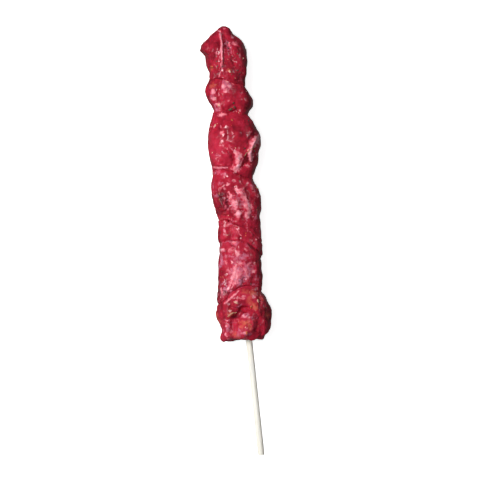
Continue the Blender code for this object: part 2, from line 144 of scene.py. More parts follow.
# Sinew and strips of fat: kind, width, height above the meat, how plain it is and its route
STREAKS = [
    ("sinew", 1.15, 0.0, 0.68, [(-0.6, 251.4), (2.2, 249.0), (2.7, 243.3), (2.0, 237.8), (1.6, 232.0)]),
    ("sinew", 1.05, 0.0, 0.46, [(1.6, 232.0), (0.7, 226.7), (-1.0, 222.8)]),
    ("sinew", 1.1, 0.15, 0.55, [(-12.2, 91.0), (-8.0, 93.7), (-2.7, 97.4)]),
    ("sinew", 1.15, 0.0, 0.56, [(-11.6, 171.4), (-7.3, 170.3), (-1.6, 169.8)]),
    ("fat", 3.5, 0.25, 0.95, [(17.8, 186.2), (15.4, 183.0), (13.8, 180.2)]),
    ("fat", 2.9, 0.25, 0.9, [(13.4, 180.0), (12.3, 176.6), (12.4, 172.6)]),
    ("fat", 1.4, 0.2, 0.6, [(-0.8, 180.4), (0.8, 182.2), (2.6, 179.4)]),
    ("fat", 3.4, 0.25, 0.85, [(3.4, 179.0), (5.0, 176.6), (5.2, 173.6), (4.2, 170.0)]),
    ("fat", 4.6, 0.2, 0.8, [(4.2, 169.6), (2.6, 167.0)]),
    ("fat", 1.8, 0.15, 0.6, [(10.4, 170.4), (9.4, 168.6)]),
    ("fat", 2.4, 0.15, 0.8, [(-2.7, 155.6), (-2.0, 152.2), (-0.7, 148.4), (0.5, 144.8)]),
    ("fat", 4.4, 0.25, 1.0, [(1.0, 143.8), (2.2, 140.4)]),
    ("fat", 3.4, 0.1, 0.66, [(2.4, 157.2), (4.7, 153.7), (7.1, 149.2)]),
    ("fat", 3.8, 0.12, 0.72, [(7.0, 150.0), (8.0, 144.6), (7.2, 139.6)]),
    ("fat", 1.8, 0.1, 0.26, [(-5.0, 155.6), (-5.4, 150.0), (-4.4, 145.0)]),
    ("fat", 1.1, 0.08, 0.5, [(0.0, 133.4), (0.8, 131.2), (2.0, 129.4)]),
    ("fat", 1.0, 0.08, 0.4, [(4.8, 138.0), (5.8, 134.6), (6.0, 131.0)]),
    ("fat", 2.4, 0.1, 0.85, [(-3.0, 112.4), (-5.6, 106.4), (-8.8, 98.6)]),
    ("fat", 1.8, 0.1, 0.62, [(0.6, 111.4), (2.6, 108.0), (3.6, 104.4)]),
    ("fat", 1.6, 0.1, 0.6, [(-2.4, 106.4), (-3.6, 102.6), (-6.4, 99.6)]),
]

# Soft spots by kind: across, along, half their width and length, and strength. A tone below 0 is darker.
PATCHES = {
    # Tone spots: most are painted shade on the flanks and in creases, a few are painted light on lit lumps,
    # the rest the meat's own tone
    "tone": [
        (12.0, 82.0, 4.6, 11.0, -0.45), (-6.6, 82.6, 3.0, 1.8, -0.4), (-3.2, 85.2, 2.6, 1.2, -0.35),
        (12.0, 108.0, 3.4, 12.0, -0.25), (11.4, 148.0, 3.0, 10.0, -0.2), (-8.0, 150.0, 4.4, 9.0, -0.32),
        (-7.0, 132.0, 3.6, 4.0, -0.08), (-11.4, 104.0, 3.6, 8.0, -0.28), (-3.0, 188.0, 5.0, 5.0, -0.05),
        (16.6, 190.0, 4.0, 6.0, -0.3), (13.4, 174.0, 3.4, 4.0, -0.25), (13.0, 206.0, 4.0, 6.0, -0.2),
        (4.8, 202.2, 3.6, 1.6, -0.35), (13.0, 232.0, 4.0, 12.0, 0.1), (-6.0, 177.0, 6.0, 7.0, 0.14),
        (3.0, 188.0, 6.0, 6.0, -0.05), (-6.0, 96.0, 4.0, 3.0, 0.08), (0.6, 94.0, 6.0, 3.0, 0.16),
        (-0.6, 78.0, 5.0, 5.0, 0.14), (7.4, 93.6, 2.0, 4.0, -0.3),
    ],
    # Fat spots: many are painted glints beside the real fat
    "fat": [
        (4.8, 250.6, 1.4, 1.1, 0.6), (8.3, 245.2, 1.5, 1.4, 0.85), (10.2, 240.8, 1.9, 2.0, 0.62),
        (-1.2, 236.2, 1.0, 1.4, 0.5), (3.4, 219.4, 1.5, 1.5, 1.0), (1.2, 216.8, 1.5, 1.8, 1.0),
        (4.6, 216.2, 1.7, 1.7, 0.9), (2.6, 214.2, 1.4, 1.1, 0.75), (-5.3, 214.6, 1.7, 2.1, 0.85),
        (-6.0, 210.6, 1.6, 1.3, 0.62), (-3.2, 206.8, 1.5, 1.3, 1.0), (-1.9, 200.6, 2.8, 1.5, 0.8),
        (-6.8, 194.2, 1.3, 1.0, 0.7), (-2.8, 190.4, 1.0, 1.0, 0.7), (-3.2, 193.4, 0.9, 0.9, 0.5),
        (-4.6, 182.4, 1.3, 0.8, 0.6), (-2.6, 182.2, 0.9, 0.7, 0.5), (16.2, 175.8, 1.1, 1.2, 0.6),
        (-2.6, 159.8, 1.3, 1.1, 1.0), (0.7, 161.4, 1.2, 1.0, 0.9), (-4.8, 157.2, 1.2, 1.0, 0.8),
        (-8.2, 134.6, 1.1, 1.2, 0.5), (-10.0, 122.0, 1.6, 1.1, 0.9), (-2.3, 125.6, 2.4, 1.5, 1.0),
        (-1.3, 119.0, 1.6, 2.3, 1.0), (-8.4, 115.0, 1.2, 1.8, 0.6), (6.8, 108.0, 1.3, 1.1, 0.9),
        (-2.4, 107.0, 4.2, 3.0, 0.56), (-0.6, 113.0, 3.8, 2.0, 0.52), (-5.0, 121.6, 2.6, 1.8, 0.56),
        (3.6, 120.8, 1.8, 1.4, 0.6), (4.4, 112.4, 1.6, 1.2, 0.6), (-7.6, 109.6, 1.8, 1.4, 0.5),
        (-9.0, 98.8, 1.6, 1.2, 0.8), (-5.2, 90.9, 2.0, 1.1, 1.0), (-0.6, 93.6, 1.2, 1.4, 0.8),
        (8.0, 91.0, 1.8, 1.0, 0.8), (-1.4, 82.8, 1.4, 0.8, 0.9), (5.0, 93.8, 1.4, 1.2, 0.8),
        (-0.4, 75.4, 1.0, 0.8, 0.7), (-2.0, 72.8, 2.2, 1.0, 1.0), (-11.4, 80.8, 1.2, 0.9, 0.9),
        (-12.2, 77.8, 1.3, 0.9, 0.8), (-10.4, 74.4, 1.2, 1.0, 0.8), (-13.4, 72.8, 1.2, 1.2, 0.9),
    ],
    # Film spots: many are painted sheen and glints beside the real film
    "film": [
        (6.2, 240.0, 2.8, 6.4, 0.62), (2.6, 217.2, 3.8, 5.0, 1.0), (-4.6, 205.0, 3.0, 4.4, 0.7),
        (-5.6, 213.2, 2.8, 4.6, 0.8), (4.2, 196.4, 1.8, 1.4, 0.5), (-6.0, 177.2, 2.4, 1.6, 0.5),
        (-8.6, 167.4, 2.2, 1.4, 0.9), (-4.6, 166.2, 2.0, 1.3, 0.8), (3.8, 149.0, 5.0, 8.6, 0.58),
        (-8.0, 134.0, 2.0, 3.0, 0.6), (-3.6, 137.6, 4.6, 1.8, 0.6), (-1.6, 125.0, 3.4, 2.2, 0.9),
        (-5.0, 118.0, 4.6, 1.2, 0.8), (3.4, 117.0, 4.0, 2.4, 0.7), (-1.4, 103.0, 5.4, 4.0, 1.0),
        (-3.4, 109.0, 6.0, 3.6, 1.0), (2.2, 106.0, 4.4, 5.0, 1.0), (-1.0, 116.0, 6.0, 5.0, 0.85),
        (4.0, 110.0, 4.6, 6.0, 0.75), (-8.4, 103.0, 3.0, 4.6, 0.6), (-0.6, 83.0, 3.4, 1.9, 1.0),
        (3.6, 80.8, 2.8, 2.4, 0.9), (-3.6, 88.6, 3.0, 1.6, 0.7), (-0.4, 72.4, 3.4, 1.4, 0.8),
        (-11.6, 76.6, 2.4, 4.4, 0.7),
    ],
    "orange": [
        (-4.6, 229.0, 2.4, 3.0, 0.5), (5.6, 225.4, 2.8, 1.6, 0.8), (-5.6, 218.4, 3.6, 2.4, 0.6),
        (0.8, 96.4, 3.6, 2.4, 0.7), (2.6, 91.6, 3.2, 3.2, 0.8), (4.6, 94.6, 2.4, 4.0, 0.8),
        (5.2, 87.6, 3.0, 3.6, 1.0), (-8.8, 84.6, 2.6, 2.4, 1.0), (-4.0, 76.6, 2.0, 1.5, 1.0),
        (0.7, 76.0, 1.7, 2.2, 1.0), (-1.0, 79.0, 6.0, 2.6, 0.75),
    ],
}

# Where the surface attribute keeps each kind
KINDS = {"fat": 0, "film": 1, "orange": 2, "sinew": 0}

# The herb stems that show from above: width and route
STEMS = [
    (0.55, [(8.4, 175.2), (11.0, 177.3), (13.6, 179.0), (15.8, 180.4)]),
    (0.6, [(-11.0, 83.2), (-8.2, 84.9), (-5.6, 85.4)]),
]

# Each seasoning: the two colours between which its bits vary, its roughness and its gloss
SEASONINGS = {
    "stem": ((0.32, 0.13, 0.07), (0.62, 0.35, 0.22), 0.55, 0.2),
    "herb": ((0.025, 0.014, 0.01), (0.12, 0.058, 0.03), 0.5, 0.4),
    "chilli": ((0.45, 0.035, 0.01), (0.72, 0.16, 0.04), 0.4, 0.5),
    "pale": ((0.7, 0.3, 0.22), (0.85, 0.5, 0.36), 0.4, 0.5),
    "pepper": ((0.018, 0.01, 0.008), (0.13, 0.05, 0.035), 0.5, 0.3),
}

# The flakes that show from above, by kind: across, along, length, width and heading
FLAKES = {
    "herb": [
        (14.6, 177.6, 2.6, 1.1, 60.0), (3.4, 203.2, 3.0, 1.5, 35.0), (6.0, 204.2, 2.4, 1.3, 120.0),
        (5.6, 206.6, 1.8, 1.1, 80.0), (7.2, 233.4, 2.8, 1.2, 115.0), (6.2, 238.6, 2.2, 1.2, 60.0),
    ],
    "chilli": [
        (3.2, 87.4, 2.2, 1.2, 70.0), (-1.0, 73.0, 2.4, 1.4, 20.0), (3.7, 196.8, 1.8, 1.2, 90.0),
        (-4.6, 229.2, 2.0, 1.3, 30.0),
    ],
    "pale": [
        (-5.2, 91.0, 3.2, 1.4, 10.0), (7.6, 90.6, 2.6, 1.2, 40.0), (-6.4, 194.8, 2.2, 1.3, 0.0),
        (-3.0, 206.4, 2.2, 1.3, 15.0), (5.4, 225.0, 2.2, 1.2, 150.0),
    ],
}

# The studio's lights: name, place and size in metres, power and colour
LIGHTS = (
    ("key", (-0.44, 0.2, 0.8), 0.52, 8.3, (1.0, 0.99, 0.98)),
    ("glint", (-0.36, 0.18, 0.86), 0.22, 6.4, (1.0, 0.94, 0.99)),
    ("top", (-0.3, 0.1, 1.4), 1.2, 3.4, (1.0, 1.0, 1.0)),
    ("left fill", (-0.95, 0.06, 0.18), 0.4, 1.1, (1.0, 0.98, 0.98)),
    ("right fill", (0.95, -0.1, 0.14), 0.4, 0.28, (1.0, 0.98, 0.98)),
    ("left glint", (-0.82, -0.22, 0.42), 0.26, 2.4, (1.0, 0.96, 0.99)),
    ("right glint", (0.82, 0.26, 0.46), 0.26, 2.4, (1.0, 0.96, 0.99)),
)


def length_setting(name, description, size):
    """A length whose default is given in millimetres."""
    return bpy.props.FloatProperty(name=name, description=description, default=size * MM, unit="LENGTH")


def colour_setting(name, description, default):
    return bpy.props.FloatVectorProperty(name=name, description=description, subtype="COLOR", default=default)


def count_setting(name, description, default):
    return bpy.props.IntProperty(name=name, description=description, default=default)


class KebabMeat(bpy.types.PropertyGroup):
    """Sizes and colours of the beef."""

    detail: length_setting("Detail", "Size of the smallest face on the meat", 0.34)
    smoothing: count_setting("Smoothing", "Passes that round the plain form before its relief", 4)
    wander: length_setting("Wander", "How far the form wanders from the plain one", 1.0)
    lumps: length_setting("Lumps", "Height of the soft lumps", 0.5)
    folds: length_setting("Folds", "Depth of the natural folds all round", 0.5)
    curds: length_setting("Curds", "Height of the small wet bumps", 0.26)
    swell: length_setting("Swell", "How far the skin swells, so that neighbours press together", 0.24)
    press: length_setting("Press", "How much more it swells where it meets a neighbour", 0.45)
    press_reach: length_setting("Press reach", "How far from a neighbour that swelling starts", 2.6)
    fibres: length_setting("Fibres", "Height of the muscle fibres", 0.06)
    # Painted shade: how much darker the meat is painted low down, towards the floor
    painted_low_shade: bpy.props.FloatProperty(
        name="Low_shade", description="How much darker the meat is low down, where juice gathers", default=0.24
    )
    # Dark and bright also serve as the meat in painted shade and painted light, where the tone runs between
    # them
    lean: colour_setting("Lean", "Colour of the lean meat", (0.42, 0.0135, 0.037))
    dark: colour_setting("Dark", "Colour of the lean meat at its darkest", (0.1, 0.004, 0.01))
    bright: colour_setting("Bright", "Colour of the lean meat at its brightest", (0.63, 0.04, 0.088))
    film: colour_setting("Film", "Colour of the thin film over the meat", (0.69, 0.24, 0.37))
    fat: colour_setting("Fat", "Colour of the fat and sinew", (0.9, 0.38, 0.45))
    marinade: colour_setting("Marinade", "Colour where the marinade gathers", (0.68, 0.15, 0.088))


class KebabStick(bpy.types.PropertyGroup):
    """Sizes and colours of the wooden stick."""

    sides: count_setting("Sides", "Sides of the round stick", 40)
    rings: count_setting("Rings", "Rings along the stick", 120)
    wear: length_setting("Wear", "Depth of the grain and of the uneven turning", 0.05)
    pale: colour_setting("Pale", "Colour of the wood", (0.95, 0.95, 0.9))
    grain: colour_setting("Grain", "Colour of the grain", (0.82, 0.77, 0.66))


class KebabSeasoning(bpy.types.PropertyGroup):
    """How much herb, pepper and chilli lies on the meat."""

    stems: count_setting("Stems", "Herb stems scattered all round", 7)
    stem_length: length_setting("Stem length", "Longest of the scattered stems", 7.0)
    herbs: count_setting("Herb flakes", "Green and brown flakes scattered", 64)
    herb_size: length_setting("Herb size", "Length of a herb flake", 1.3)
    chilli: count_setting("Chilli flakes", "Orange flakes scattered", 64)
    chilli_size: length_setting("Chilli size", "Length of a chilli flake", 1.0)
    pale: count_setting("Pale flakes", "Bits of garlic and onion scattered", 48)
    pale_size: length_setting("Pale size", "Length of a pale flake", 1.2)
    pepper: count_setting("Pepper", "Bits of crushed pepper scattered", 120)
    pepper_size: length_setting("Pepper size", "Width of a bit of pepper", 0.55)


class KebabStage(bpy.types.PropertyGroup):
    """Camera."""

    turn: bpy.props.FloatProperty(
        name="Turn", description="Turn of the picture", default=math.radians(-6.08), subtype="ANGLE"
    )
    fill: bpy.props.FloatProperty(
        name="Fill", description="Share of the picture that the skewer fills", default=0.9, subtype="FACTOR"
    )
    distance: length_setting("Distance", "Height of the camera", 1100.0)
    lens: bpy.props.FloatProperty(name="Lens", description="Focal length", default=120.0)


def spot(across, along, height):
    """A place on the skewer, given in millimetres in the stick's frame, as a position in metres."""
    return Vector(((AXIS_ACROSS + across) * MM, (HANDLE_END + along) * MM, height * MM))


def material(name):
    made = bpy.data.materials.new(name)
    made.use_nodes = True
    made.node_tree.nodes.clear()
    return made


def add(made, kind, **values):
    """Adds a shader node and sets its properties, or its sockets where the name is a socket's."""
    node = made.node_tree.nodes.new(kind)
    for name, value in values.items():
        label = name.replace("_", " ")
        socket = next((one for one in node.inputs if one.name.lower() == label), None)
        if socket is not None and not hasattr(node, name):
            socket.default_value = value
        else:
            setattr(node, name, value)
    return node


def join(made, source, target):
    made.node_tree.links.new(source, target)


def noise_texture(made, vector, size, detail, roughness):
    """Noise whose features are about as large as the given size in metres."""
    node = add(made, "ShaderNodeTexNoise", scale=1.0 / size, detail=detail, roughness=roughness)
    join(made, vector, node.inputs["Vector"])
    return node.outputs["Fac"]


def stretch(made, value, low, high, new_low=0.0, new_high=1.0):
    node = add(made, "ShaderNodeMapRange", from_min=low, from_max=high, to_min=new_low, to_max=new_high)
    join(made, value, node.inputs["Value"])
    return node.outputs["Result"]


def vary(made, noise, low, high):
    """Noise, which mostly lies between 0.3 and 0.7, brought between two values."""
    return stretch(made, noise, 0.3, 0.7, low, high)


def calculate(made, operation, first, second):
    node = add(made, "ShaderNodeMath", operation=operation)
    for socket, value in zip(node.inputs, (first, second)):
        if isinstance(value, float):
            socket.default_value = value
        else:
            join(made, value, socket)
    return node.outputs["Value"]


def blend_colour(made, factor, first, second):
    """Mixes two colours, each a socket or three numbers."""
    node = add(made, "ShaderNodeMix", data_type="RGBA")
    join(made, factor, node.inputs["Factor"])
    sockets = [one for one in node.inputs if one.type == "RGBA"]
    for socket, value in zip(sockets, (first, second)):
        if isinstance(value, bpy.types.NodeSocket):
            join(made, value, socket)
        else:
            socket.default_value = (*value, 1.0)
    return next(one for one in node.outputs if one.type == "RGBA")


def bump(made, height, distance, strength, under=None):
    node = add(made, "ShaderNodeBump", strength=strength, distance=distance)
    join(made, height, node.inputs["Height"])
    if under is not None:
        join(made, under, node.inputs["Normal"])
    return node.outputs["Normal"]


def finish_material(made, linked, **plain):
    """Gives a material its shader, fed by sockets and by plain values."""
    shader = add(made, "ShaderNodeBsdfPrincipled", **plain)
    for name, source in linked.items():
        join(made, source, shader.inputs[name])
    output = add(made, "ShaderNodeOutputMaterial")
    join(made, shader.outputs["BSDF"], output.inputs["Surface"])
    return made


def beef_material(settings):
    """Wet raw beef. The piece's own attributes say where fat and painted glints, film and painted sheen,
    marinade, and darker meat with painted shade and light are.
    """
    made = material("raw marinated beef")
    place = add(made, "ShaderNodeTexCoord").outputs["Object"]
    surface = add(made, "ShaderNodeAttribute", attribute_name="surface")
    channels = add(made, "ShaderNodeSeparateColor")
    join(made, surface.outputs["Color"], channels.inputs["Color"])
    fat, film, orange = channels.outputs
    tone = add(made, "ShaderNodeAttribute", attribute_name="tone").outputs["Fac"]

    mottle = noise_texture(made, place, 3.8 * MM, 3.0, 0.5)
    fine = noise_texture(made, place, 1.0 * MM, 2.0, 0.5)
    # The tone, with painted shade and painted light as well as the meat's own tone, runs the lean meat from
    # dark to bright
    mottled = calculate(made, "ADD", vary(made, mottle, -0.16, 0.16), tone)
    mottled = calculate(made, "ADD", mottled, vary(made, fine, -0.03, 0.03))
    colour = blend_colour(made, stretch(made, mottled, 0.0, 0.5), settings.dark, settings.lean)
    colour = blend_colour(made, stretch(made, mottled, 0.5, 1.0), colour, settings.bright)
    ragged = noise_texture(made, place, 1.5 * MM, 4.0, 0.65)
    stained = noise_texture(made, place, 3.4 * MM, 2.0, 0.5)
    gathered = calculate(made, "ADD", orange, vary(made, stained, -0.25, 0.25))
    gathered = calculate(made, "MULTIPLY", stretch(made, gathered, 0.25, 1.0), 0.8)
    colour = blend_colour(made, gathered, colour, settings.marinade)
    # The film colour, partly real film and partly painted sheen
    sheened_film = calculate(made, "ADD", film, vary(made, ragged, -0.3, 0.3))
    sheened_film = calculate(made, "MULTIPLY", stretch(made, sheened_film, 0.3, 1.0), 0.85)
    colour = blend_colour(made, sheened_film, colour, settings.film)
    # Fat and painted glints, with a bright rim
    fatty = stretch(made, calculate(made, "ADD", fat, vary(made, fine, -0.14, 0.14)), 0.08, 0.9)
    colour = blend_colour(made, stretch(made, fatty, 0.0, 0.5), colour, settings.bright)
    colour = blend_colour(made, stretch(made, fatty, 0.15, 1.0), colour, settings.fat)

    wet = noise_texture(made, place, 3.6 * MM, 1.0, 0.4)
    damp = noise_texture(made, place, 6.5 * MM, 2.0, 0.5)
    pores = noise_texture(made, place, 0.45 * MM, 2.0, 0.5)
    ripples = bump(made, wet, 0.9 * MM, 0.32)
    relief = bump(made, pores, 0.25 * MM, 0.12, ripples)

    linked = {
        "Base Color": colour,
        "Roughness": vary(made, ragged, 0.36, 0.52),
        "Normal": relief,
        "Coat Normal": ripples,
        "Coat Weight": stretch(made, damp, 0.36, 0.6, 0.22, 0.95),
    }
    return finish_material(
        made, linked, subsurface_weight=0.18, subsurface_radius=(1.0, 0.2, 0.14), subsurface_scale=1.4 * MM,
        ior=1.38, specular_ior_level=0.04, coat_roughness=0.2, coat_ior=1.36,
    )


def wood_material(settings):
    """Pale straight-grained wood: the grain runs along the stick."""
    made = material("pale wood")
    place = add(made, "ShaderNodeTexCoord").outputs["Object"]
    drawn = add(made, "ShaderNodeMapping", scale=(1.0, 0.02, 1.0))
    join(made, place, drawn.inputs["Vector"])
    lines = noise_texture(made, drawn.outputs["Vector"], 0.5 * MM, 4.0, 0.6)
    pores = noise_texture(made, drawn.outputs["Vector"], 0.16 * MM, 2.0, 0.5)
    bands = noise_texture(made, place, 18.0 * MM, 2.0, 0.5)
    colour = blend_colour(made, stretch(made, lines, 0.42, 0.75), settings.pale, settings.grain)
    warm = tuple(value * tint for value, tint in zip(settings.pale, (0.95, 0.9, 0.8)))
    colour = blend_colour(made, stretch(made, bands, 0.35, 0.8, 0.0, 0.6), colour, warm)
    relief = bump(made, pores, 0.08 * MM, 0.7, bump(made, lines, 0.12 * MM, 0.7))
    roughness = vary(made, lines, 0.5, 0.66)
    return finish_material(made, {"Base Color": colour, "Roughness": roughness, "Normal": relief})


def bit_material(name, dark, light, roughness, gloss):
    """Small seasoning, whose bits each carry their own shade between two colours."""
    made = material(name)
    place = add(made, "ShaderNodeTexCoord").outputs["Object"]
    shade = add(made, "ShaderNodeAttribute", attribute_name="shade").outputs["Fac"]
    spots = noise_texture(made, place, 0.5 * MM, 3.0, 0.6)
    shaded = calculate(made, "ADD", shade, vary(made, spots, -0.18, 0.18))
    colour = blend_colour(made, stretch(made, shaded, 0.0, 1.0), dark, light)
    linked = {
        "Base Color": colour,
        "Roughness": vary(made, spots, roughness - 0.08, roughness + 0.08),
        "Normal": bump(made, spots, 0.15 * MM, 0.8),
    }
    return finish_material(made, linked, coat_weight=gloss, coat_roughness=0.15)


def random_corner(cell, seed):
    """One number from -1 to 1 for each cell of a grid."""
    mixed = cell @ np.array([374761393, 668265263, 2147483647]) + int(seed * 97.0) * 144665
    mixed = (mixed ^ (mixed >> 13)) * 1274126177
    mixed = mixed ^ (mixed >> 16)
    return (mixed & 0xFFFF) / 32767.5 - 1.0


def cloud(points, size, seed):
    """Smooth noise from about -1 to 1, at points in millimetres, with lumps of the given size."""
    scaled = points / size + seed * 7.31
    cell = np.floor(scaled).astype(np.int64)
    part = scaled - cell
    part = part * part * part * (part * (part * 6.0 - 15.0) + 10.0)
    total = np.zeros(len(points))
    for corner in range(8):
        step = np.array([corner & 1, corner >> 1 & 1, corner >> 2 & 1])
        weight = np.prod(np.where(step == 1, part, 1.0 - part), axis=1)
        total += weight * random_corner(cell + step, seed)
    return total


def clouds(points, size, seed, octaves=3):
    """Noise with finer noise on it."""
    total = np.zeros(len(points))
    for octave in range(octaves):
        total += cloud(points, size / 2.0**octave, seed + octave) / 2.0**octave
    return total / 1.4


def smooth_step(values, low, high):
    share = np.clip((values - low) / (high - low), 0.0, 1.0)
    return share * share * (3.0 - 2.0 * share)


def distance_to_route(plan, route):
    """Each point's distance from a route seen from above, in millimetres, and how far along it is."""
    nearest = np.full(len(plan), 1e9)
    progress = np.zeros(len(plan))
    corners = np.array(route)
    whole = np.linalg.norm(np.diff(corners, axis=0), axis=1).sum()
    travelled = 0.0
    for start, end in zip(corners, corners[1:]):
        run = end - start
        length = np.linalg.norm(run)
        share = np.clip(((plan - start) @ run) / (run @ run), 0.0, 1.0)
        distance = np.linalg.norm(plan - start - share[:, None] * run, axis=1)
        closer = distance < nearest
        nearest[closer] = distance[closer]
        progress[closer] = (travelled + share[closer] * length) / whole
        travelled += length
    return nearest, progress


def frame_points(positions):
    """Positions in metres as millimetres in the stick's frame: across, along and height."""
    return positions / MM - FRAME_START


def read_points(mesh, kind="co"):
    """The places of a mesh's corners, or their normals, as rows of three."""
    values = np.empty(len(mesh.vertices) * 3, dtype=np.float32)
    mesh.vertices.foreach_get(kind, values)
    return values.reshape(-1, 3).astype(float)


def write_points(mesh, points):
    """Moves a mesh's corners to points in millimetres in the stick's frame."""
    positions = (points + FRAME_START) * MM
    mesh.vertices.foreach_set("co", positions.astype(np.float32).ravel())
    mesh.update()


def take_mesh(builder, name):
    """Frees a bmesh and gives it as a mesh."""
    mesh = bpy.data.meshes.new(name)
    builder.to_mesh(mesh)
    builder.free()
    return mesh


def add_object(name, data):
    made = bpy.data.objects.new(name, data)
    bpy.context.scene.collection.objects.link(made)
    return made


def smooth_copy(node_name, detail, passes):
    """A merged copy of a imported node, divided into small even faces and rounded."""
    builder = bmesh.new()
    builder.from_mesh(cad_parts[node_name].data)
    bmesh.ops.remove_doubles(builder, verts=builder.verts, dist=WELD_DISTANCE * MM)
    coarse = take_mesh(builder, "coarse")
    holder = add_object("coarse", coarse)
    remesh = holder.modifiers.new("even faces", "REMESH")
    remesh.voxel_size = detail
    rounded = holder.modifiers.new("rounded", "SMOOTH")
    rounded.factor = 0.5
    rounded.iterations = passes
    graph = bpy.context.evaluated_depsgraph_get()
    fine = bpy.data.meshes.new_from_object(holder.evaluated_get(graph))
    bpy.data.objects.remove(holder)
    bpy.data.meshes.remove(coarse)
    return fine


def wander(points, amount):
    """Carries points a little way in one field that all the pieces share, so that neighbours still fit."""
    reach = np.hypot(points[:, 0], points[:, 2] - AXIS_HEIGHT)
    free = smooth_step(reach, STICK_RADIUS + 1.0, STICK_RADIUS + 6.0)
    off_floor = smooth_step(points[:, 2], 0.0, 5.0)
    moved = points.copy()
    for axis, share in enumerate((0.55, 1.3, 0.55)):
        field = clouds(points, 7.0, 60.0 + axis * 5.0, 2)
        moved[:, axis] += amount * share * free * (off_floor if axis != 2 else off_floor * 0.7) * field
    return moved


def nearest_dot(points, spacing, seed):
    """Distance to the nearest of many random dots, in millimetres, and that dot's own number from 0 to 1."""
    scaled = points / spacing
    cell = np.floor(scaled).astype(np.int64)
    nearest = np.full(len(points), 9.0)
    mark = np.zeros(len(points))
    for step in np.ndindex(3, 3, 3):
        near = cell + step - 1
        inside = np.stack([random_corner(near, seed + axis) for axis in range(3)], axis=1) * 0.5 + 0.5
        distance = np.linalg.norm(near + inside - scaled, axis=1)
        closer = distance < nearest
        nearest[closer] = distance[closer]
        mark[closer] = random_corner(near[closer], seed + 3.0) * 0.5 + 0.5
    return nearest * spacing, mark


def fleck_and_glint_spots(points, look, spacing, seed):
    """Small pale flecks and painted glints that gather in some places, drawn out along the grain."""
    distance, mark = nearest_dot(points, spacing, look.seed + seed)
    gather = 0.4 + 1.2 * clouds(points, 9.0, look.seed + 104.0, 2)
    present = smooth_step(look.flecks * np.clip(gather, 0.0, 1.6) - mark, 0.0, 0.12)
    size = spacing * (0.18 + 0.2 * random_like(mark))
    return present * (0.45 + 0.55 * random_like(mark + 0.37)) * (1.0 - smooth_step(distance / size, 0.2, 1.4))


def random_like(mark):
    """A second random number from 0 to 1, made from the first."""
    return np.modf(mark * 57.31)[0]


